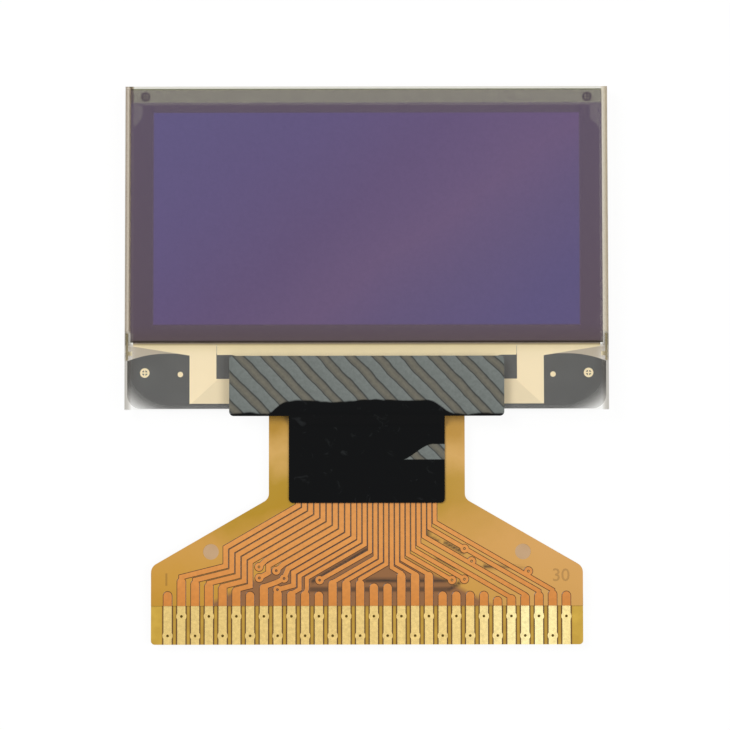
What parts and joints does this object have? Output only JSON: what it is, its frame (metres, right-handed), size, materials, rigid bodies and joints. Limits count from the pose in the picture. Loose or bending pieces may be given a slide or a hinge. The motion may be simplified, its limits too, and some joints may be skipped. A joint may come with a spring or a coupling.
{
  "type": "bare graphic display module with solder tail",
  "caption": "Flat glass display panel with a driver chip on its ledge, a black shielding tape and a solder tail of flexible circuit with a row of gilt contacts.",
  "frame": {"origin": "under the centre of the pixel matrix, on the back face of the cap glass", "axes": "+X to the display's right seen from its front, +Y towards its top edge, away from the solder tail, +Z out of the display face"},
  "size_m": [0.0248, 0.0285, 0.0013],
  "materials": {
    "cap_glass": "clear float glass with an etched pocket",
    "front_glass": "clear polished display glass",
    "desiccant": "matte white sheet",
    "seal_epoxy": "cured translucent epoxy",
    "polarizer_film": "smooth grey polarizing film",
    "anode_film": "transparent conducting oxide",
    "emitting_film": "thin organic stack",
    "cathode_metal": "evaporated mirror metal",
    "lead_metal": "sputtered pale metal leads",
    "silicon": "ground silicon",
    "bond_film": "conducting bond film",
    "ledge_resin": "dark grey silicone resin",
    "polyimide": "amber polyimide film",
    "copper": "etched copper foil",
    "gilt": "gold plate over nickel on copper",
    "adhesive": "amber laminating adhesive",
    "cover_film": "smooth amber cover film",
    "black_tape": "glossy black polyester tape"
  },
  "bodies": {
    "root": {"cap_glass": "cap_glass", "desiccant_sheet": "desiccant", "seal_frame": "seal_epoxy", "substrate_glass": "front_glass", "polarizer": "polarizer_film", "anode_columns": "anode_film", "emitting_layer": "emitting_film", "cathode_rows": "cathode_metal", "row_leads_left": "lead_metal", "row_leads_right": "lead_metal", "column_leads": "lead_metal", "input_leads": "lead_metal", "alignment_marks": "lead_metal", "edge_strips": "lead_metal", "driver_chip": "silicon", "chip_bond_film": "bond_film", "flex_bond_film": "bond_film", "ledge_coating": "ledge_resin", "flex_base": "polyimide", "front_copper": "copper", "back_copper": "copper", "via_barrels": "copper", "front_contacts": "gilt", "back_contacts": "gilt", "front_adhesive": "adhesive", "front_coverlay": "cover_film", "back_adhesive": "adhesive", "back_coverlay": "cover_film", "shield_tape": "black_tape"}
  },
  "joints": []
}
